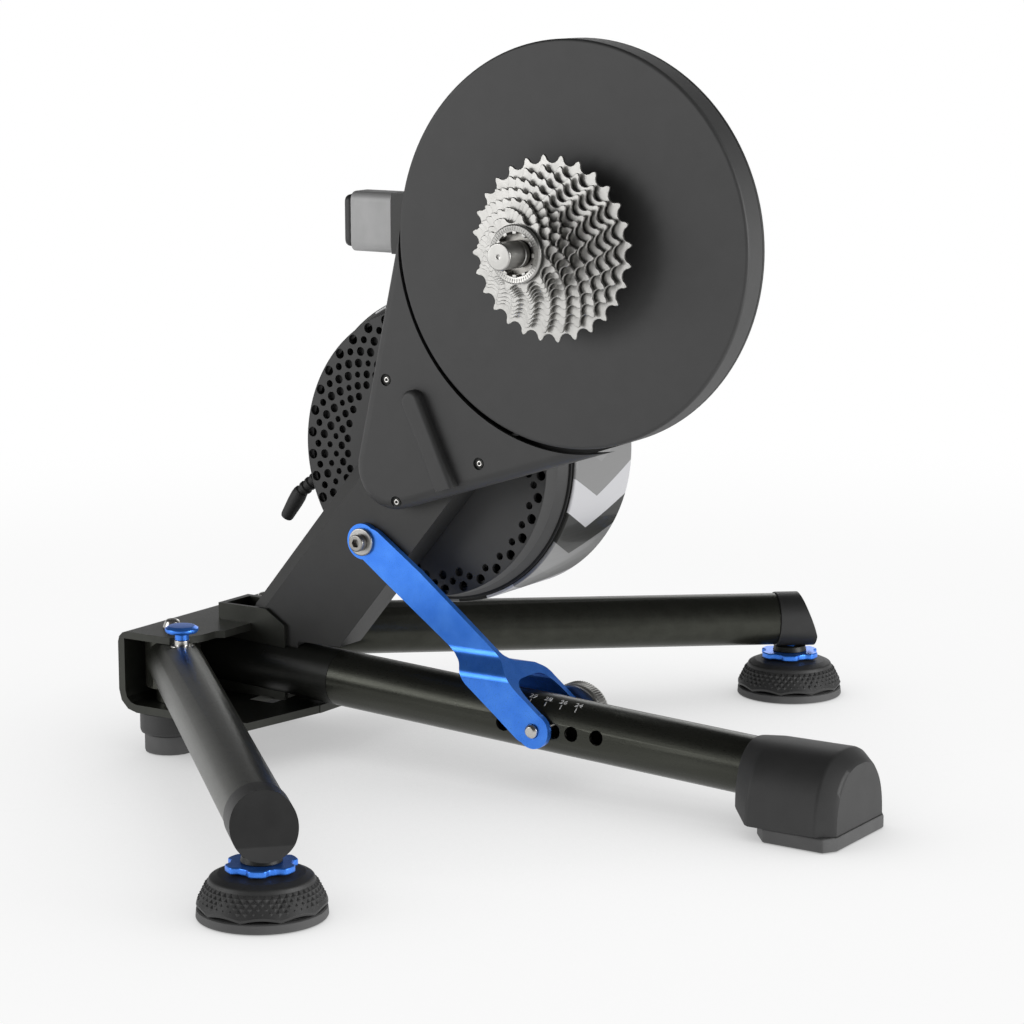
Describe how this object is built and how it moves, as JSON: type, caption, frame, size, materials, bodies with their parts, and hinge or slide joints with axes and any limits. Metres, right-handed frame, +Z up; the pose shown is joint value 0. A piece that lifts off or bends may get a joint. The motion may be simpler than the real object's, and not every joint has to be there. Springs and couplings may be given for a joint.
{
  "type": "direct drive bike trainer",
  "caption": "Folding direct drive bike trainer with a cassette on a leaning arm, a belt case, a braked flywheel, two fold-out legs and a strut that sets the axle height.",
  "frame": {"origin": "on the floor under the middle of the part's box, in the unfolded position as used", "axes": "+X forward along the bike, +Y away from the drive side (the bike's left), +Z up"},
  "size_m": [0.53, 0.7196, 0.4908],
  "materials": {
    "axle_end": "machined bright metal",
    "axle_steel": "turned steel",
    "cog_nickel": "nickel-plated stamped steel",
    "lockring_nickel": "nickel-plated, satin",
    "pulley_metal": "machined",
    "belt_rubber": "matt black rubber",
    "case_plastic": "fine-grained dark grey plastic",
    "case_plate": "satin black",
    "screw_steel": "zinc-plated",
    "arm_paint": "satin black coated casting",
    "handle_plastic": "light grey grip plastic",
    "handle_cap_plastic": "dark grey plastic",
    "brake_plastic": "dark grey plastic with rows of round holes",
    "brake_core_metal": "as cast",
    "flywheel_steel": "painted with plain chevrons",
    "shaft_steel": "ground steel",
    "boot_rubber": "matt black moulded rubber",
    "hub_paint": "satin black coated steel",
    "tube_paint": "satin black coated steel tube",
    "foot_plastic": "grained dark grey plastic",
    "pad_rubber": "mid grey rubber",
    "leg_cap_plastic": "dark grey plastic",
    "collar_steel": "bright turned steel",
    "blue_metal": "blue anodised",
    "dome_plastic": "dark grey plastic with a diamond knurl",
    "bolt_steel": "bright plated steel",
    "knob_steel": "knurled bright metal"
  },
  "bodies": {
    "base": {"drive_adapter": "axle_end", "axle_shaft": "axle_steel", "far_adapter": "axle_end", "axle_bearing": "axle_steel", "belt": "belt_rubber", "drum_cover": "case_plastic", "side_cover": "case_plastic", "belt_case": "case_plate", "cover_screw_upper": "screw_steel", "cover_screw_lower": "screw_steel", "cover_screw_corner": "screw_steel", "main_arm": "arm_paint", "handle_grip": "handle_plastic", "handle_cap": "handle_cap_plastic", "brake_cover": "brake_plastic", "brake_core": "brake_core_metal", "power_boot": "boot_rubber", "hub_channel": "hub_paint", "centre_socket": "tube_paint", "arm_pivot_pin": "shaft_steel", "centre_tube": "tube_paint", "centre_foot": "foot_plastic", "centre_pad": "pad_rubber", "right_leg_bolt": "bolt_steel", "right_rear_foot": "foot_plastic", "right_rear_pad": "pad_rubber", "left_leg_bolt": "bolt_steel", "left_rear_foot": "foot_plastic", "left_rear_pad": "pad_rubber", "strut": "blue_metal", "strut_washer": "bolt_steel", "strut_bolt": "bolt_steel"},
    "flywheel_rotor": {"flywheel": "flywheel_steel", "flywheel_shaft": "shaft_steel", "small_pulley": "pulley_metal"},
    "drive_rotor": {"drive_pulley": "pulley_metal"},
    "cassette": {"freehub": "axle_steel", "cog_cluster_large": "cog_nickel", "cog_cluster_mid": "cog_nickel", "cog_14": "cog_nickel", "cog_13": "cog_nickel", "cog_12": "cog_nickel", "cog_11": "cog_nickel", "lockring": "lockring_nickel"},
    "right_leg": {"right_leg_tube": "tube_paint", "right_leg_cap": "leg_cap_plastic", "right_lock_collar": "collar_steel"},
    "right_lock": {"right_lock_knob": "blue_metal"},
    "right_foot": {"right_foot_pad": "pad_rubber"},
    "right_grip": {"right_foot_dome": "dome_plastic", "right_foot_star": "blue_metal"},
    "left_leg": {"left_leg_tube": "tube_paint", "left_leg_cap": "leg_cap_plastic", "left_lock_collar": "collar_steel"},
    "left_lock": {"left_lock_knob": "blue_metal"},
    "left_foot": {"left_foot_pad": "pad_rubber"},
    "left_grip": {"left_foot_dome": "dome_plastic", "left_foot_star": "blue_metal"},
    "height_pin": {"lock_pin": "bolt_steel", "pin_knob": "knob_steel"}
  },
  "joints": [
    {"name": "flywheel_spin", "type": "hinge", "parent": "base", "child": "flywheel_rotor", "pos_m": [-0.0752, 0, 0.2115], "axis": [0, 1, 0], "continuous": true},
    {"name": "drive_spin", "type": "hinge", "parent": "base", "child": "drive_rotor", "pos_m": [0.0685, 0, 0.362], "axis": [0, 1, 0], "continuous": true},
    {"name": "cassette_spin", "type": "hinge", "parent": "drive_rotor", "child": "cassette", "pos_m": [0.0685, 0, 0.362], "axis": [0, 1, 0], "continuous": true},
    {"name": "right_leg_fold", "type": "hinge", "parent": "base", "child": "right_leg", "pos_m": [-0.2375, -0.0525, 0.065], "axis": [0, 0, 1], "range_deg": [0, 41]},
    {"name": "right_lock_pull", "type": "slide", "parent": "right_leg", "child": "right_lock", "axis": [0, 0, 1], "range_m": [0, 0.007], "stiffness_N_per_m": 600, "springref_m": -0.004},
    {"name": "right_foot_lift", "type": "slide", "parent": "right_leg", "child": "right_foot", "axis": [0, 0, 1], "range_m": [-0.012, 0]},
    {"name": "right_foot_turn", "type": "hinge", "parent": "right_foot", "child": "right_grip", "pos_m": [0.04395, -0.32146, 0.04], "axis": [0, 0, 1], "range_deg": [0, 2880]},
    {"name": "left_leg_fold", "type": "hinge", "parent": "base", "child": "left_leg", "pos_m": [-0.2375, 0.0525, 0.065], "axis": [0, 0, 1], "range_deg": [-41, 0]},
    {"name": "left_lock_pull", "type": "slide", "parent": "left_leg", "child": "left_lock", "axis": [0, 0, 1], "range_m": [0, 0.007], "stiffness_N_per_m": 600, "springref_m": -0.004},
    {"name": "left_foot_lift", "type": "slide", "parent": "left_leg", "child": "left_foot", "axis": [0, 0, 1], "range_m": [-0.012, 0]},
    {"name": "left_foot_turn", "type": "hinge", "parent": "left_foot", "child": "left_grip", "pos_m": [0.04395, 0.32146, 0.04], "axis": [0, 0, 1], "range_deg": [0, 2880]},
    {"name": "pin_pull", "type": "slide", "parent": "base", "child": "height_pin", "axis": [0, 1, 0], "range_m": [0, 0.075]}
  ],
  "couplings": [
    {"joint": "drive_spin", "follows": "flywheel_spin", "ratio": 0.125},
    {"joint": "right_foot_lift", "follows": "right_foot_turn", "m_per_rad": -0.00023873},
    {"joint": "left_foot_lift", "follows": "left_foot_turn", "m_per_rad": -0.00023873}
  ]
}
